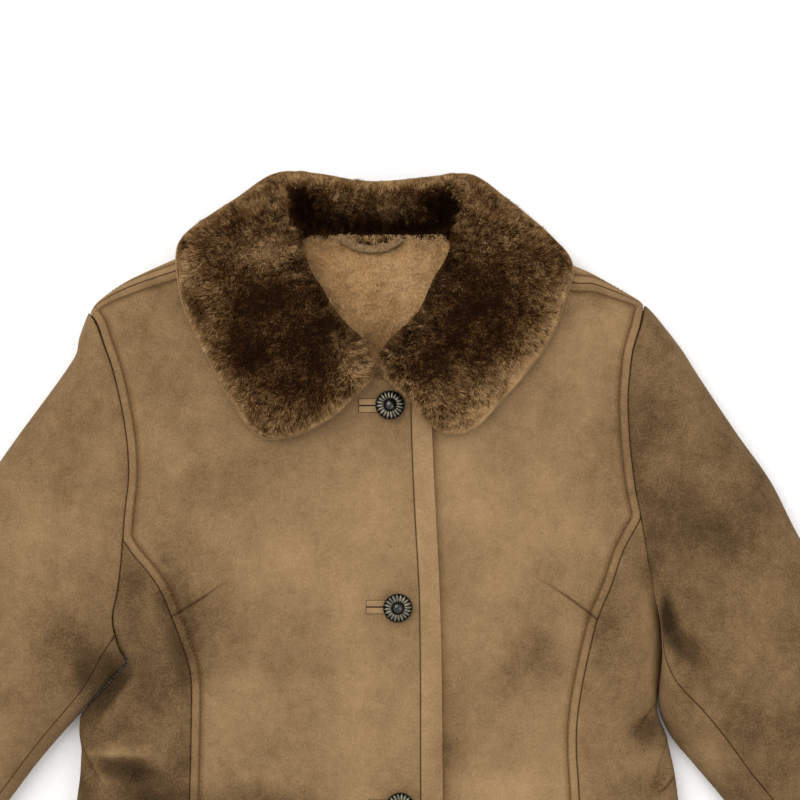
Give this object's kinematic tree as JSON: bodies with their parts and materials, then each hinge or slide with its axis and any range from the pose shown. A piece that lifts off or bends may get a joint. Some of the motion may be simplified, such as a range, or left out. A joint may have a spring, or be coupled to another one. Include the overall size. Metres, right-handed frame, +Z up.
{
  "type": "shearling coat",
  "caption": "Women's suede shearling coat laid flat on its back, buttoned, with a rounded fur collar, princess seams and sleeves out to the sides; neck, hem and cuffs are open.",
  "frame": {"origin": "on the surface that the coat lies on, at the middle of the coat's outline seen from above", "axes": "+X towards the wearer's left sleeve, +Y towards the collar, +Z up from the surface to the coat's front"},
  "size_m": [1.118, 1.0014, 0.071],
  "materials": {
    "suede": "matt napped suede",
    "fur": "clipped sheepskin fur",
    "collar_skin": "matt suede edge",
    "pewter": "aged cast metal with dark recesses",
    "loop_tape": "matt strip with a stitched edge"
  },
  "bodies": {
    "root": {"back": "suede", "front_right": "suede", "front_left": "suede", "front_band_right": "suede", "side_front_right": "suede", "side_front_left": "suede", "top_sleeve_right": "suede", "top_sleeve_left": "suede", "under_sleeve_right": "suede", "under_sleeve_left": "suede", "collar": "fur", "under_collar": "collar_skin", "button_1": "pewter", "button_2": "pewter", "button_3": "pewter", "button_4": "pewter", "welt_upper_1": "suede", "welt_upper_2": "suede", "welt_upper_3": "suede", "welt_upper_4": "suede", "welt_lower_1": "suede", "welt_lower_2": "suede", "welt_lower_3": "suede", "welt_lower_4": "suede", "hanger_loop": "loop_tape"}
  },
  "joints": []
}
